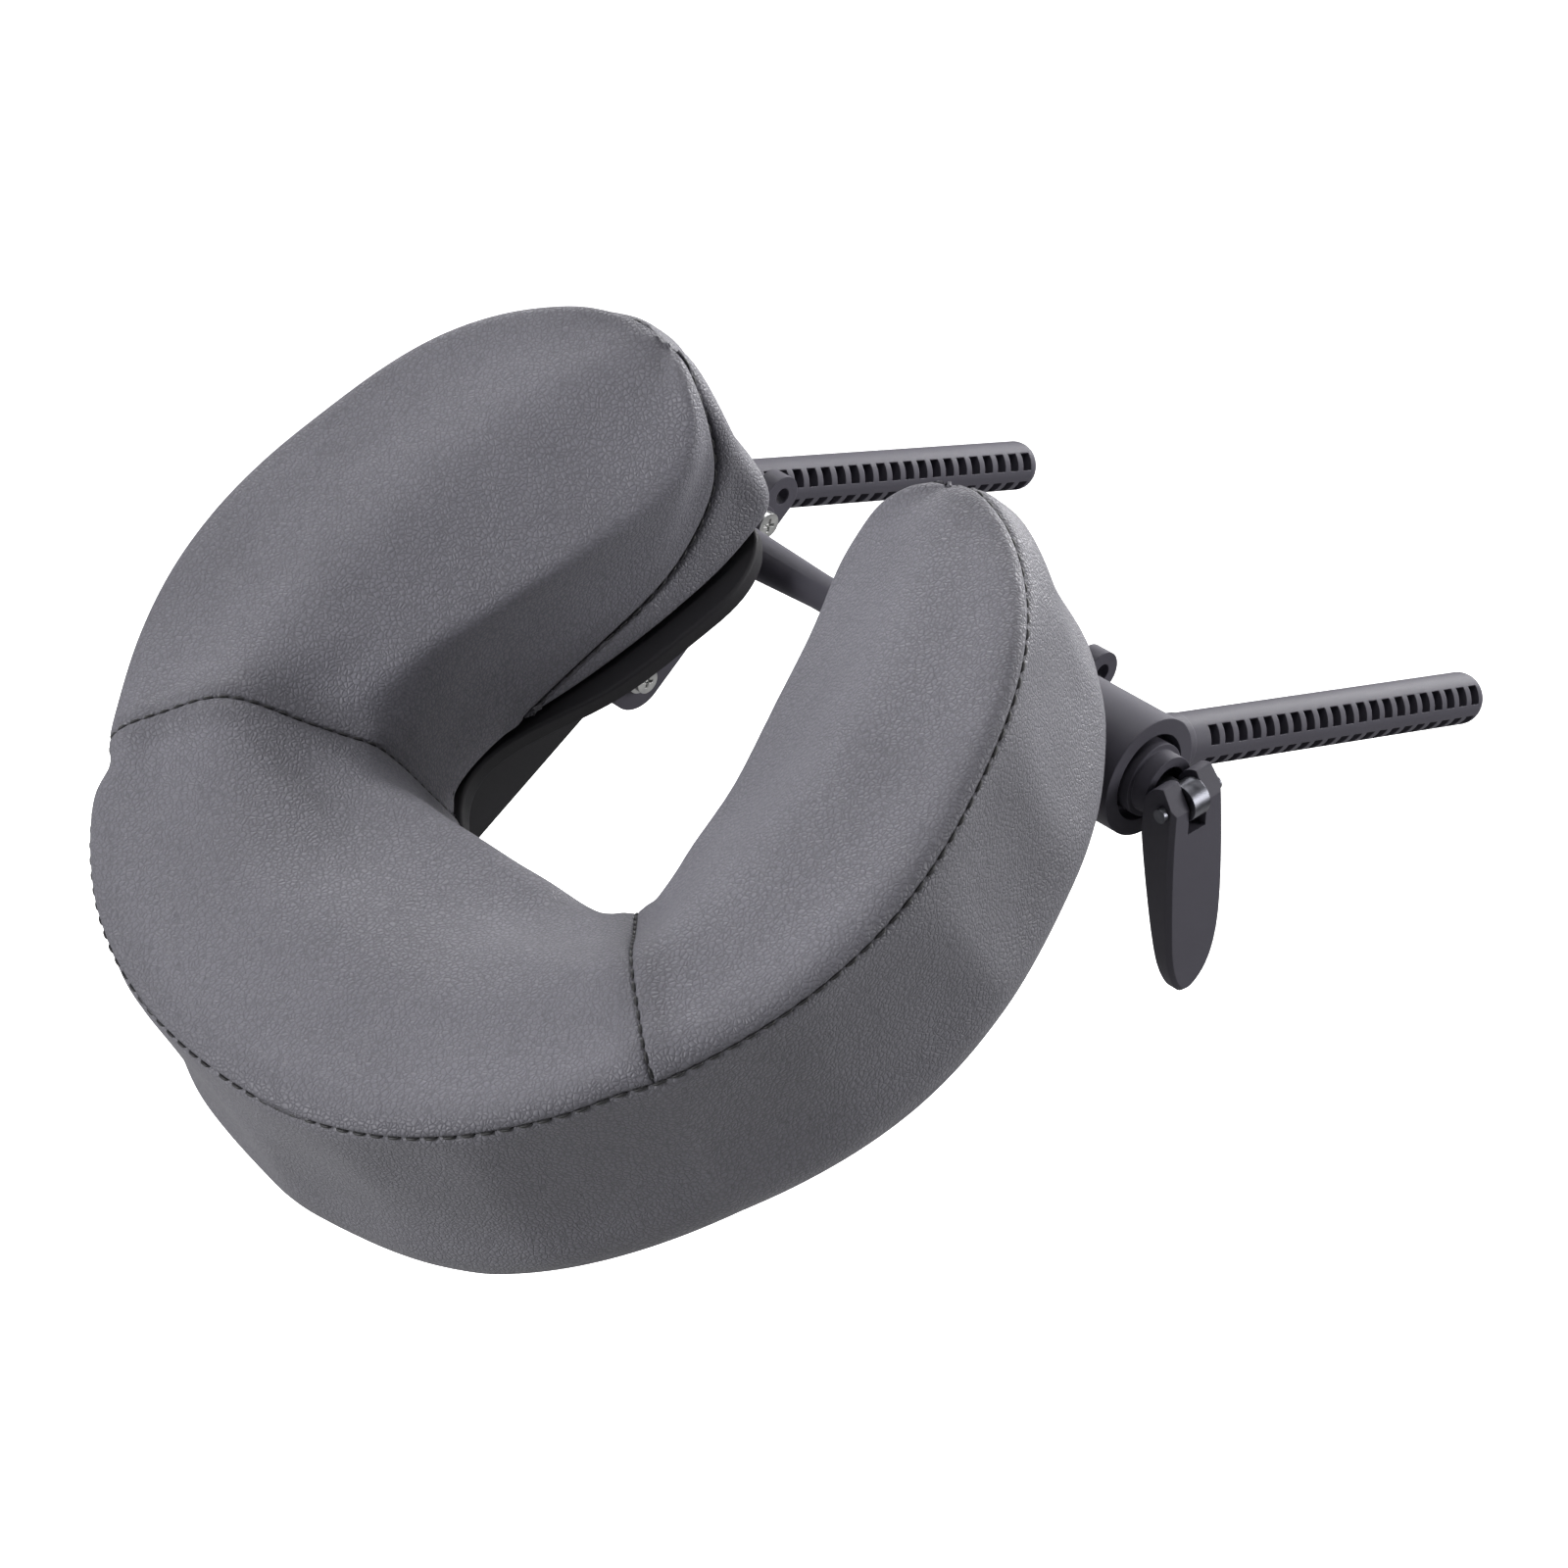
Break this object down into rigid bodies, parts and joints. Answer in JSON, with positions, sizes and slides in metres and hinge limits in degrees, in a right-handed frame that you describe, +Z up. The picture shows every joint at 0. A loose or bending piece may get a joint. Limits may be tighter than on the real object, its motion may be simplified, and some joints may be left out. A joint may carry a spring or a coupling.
{
  "type": "face cradle",
  "caption": "Adjustable face cradle: padded horseshoe cushion on a tilting platform, carried by a crossbar between two plug-in posts, locked by a cam lever.",
  "frame": {"origin": "on the crossbar axis, midway between the two posts", "axes": "+X along the crossbar towards the cam lever, +Y along the posts into the table, +Z up with the posts level; at rest the cushion is pitched 48.75 degrees head end down"},
  "size_m": [0.3198, 0.4697, 0.264],
  "materials": {
    "black_nylon": "fine moulded texture, satin",
    "friction_fibre": "matt",
    "zinc_steel": "bright zinc plate",
    "dark_steel": "plain turned steel, lightly oiled",
    "top_leather": "grey synthetic leather, fine pebble grain, semi-matt",
    "band_leather": "grey synthetic leather, fine pebble grain, semi-matt",
    "base_cloth": "dark backing cloth",
    "foam": "open-cell foam",
    "hook_tape": "hook tape",
    "loop_tape": "loop tape"
  },
  "bodies": {
    "posts": {"right_post": "black_nylon", "left_post": "black_nylon", "friction_discs": "friction_fibre", "tie_rod": "dark_steel", "cam_pin": "dark_steel", "tie_rod_washer": "zinc_steel", "tie_rod_nut": "zinc_steel", "cam_seat": "black_nylon"},
    "swing_frame": {"crossbar": "black_nylon", "right_arm": "black_nylon", "left_arm": "black_nylon", "hub_screws": "zinc_steel", "pivot_screws": "zinc_steel", "pivot_head_washers": "zinc_steel", "pivot_friction_washers": "friction_fibre", "pivot_nuts": "zinc_steel"},
    "headrest": {"platform": "black_nylon", "hook_pads": "hook_tape", "loop_pads": "loop_tape", "foam_core": "foam", "cover_base_panel": "base_cloth", "cover_side_band": "band_leather", "cover_left_lobe": "top_leather", "cover_head_panel": "top_leather", "cover_right_lobe": "top_leather"},
    "lever": {"cam_lever": "black_nylon"}
  },
  "joints": [
    {"name": "cradle_swing", "type": "hinge", "parent": "posts", "child": "swing_frame", "pos_m": [0, 0, 0], "axis": [1, 0, 0], "range_deg": [-55, 40]},
    {"name": "platform_tilt", "type": "hinge", "parent": "swing_frame", "child": "headrest", "pos_m": [0, -0.02569, -0.05129], "axis": [1, 0, 0], "range_deg": [-7, 13]},
    {"name": "cam_release", "type": "hinge", "parent": "posts", "child": "lever", "pos_m": [0.1433, 0, 0], "axis": [0, -0.9397, -0.342], "range_deg": [0, 90]}
  ]
}
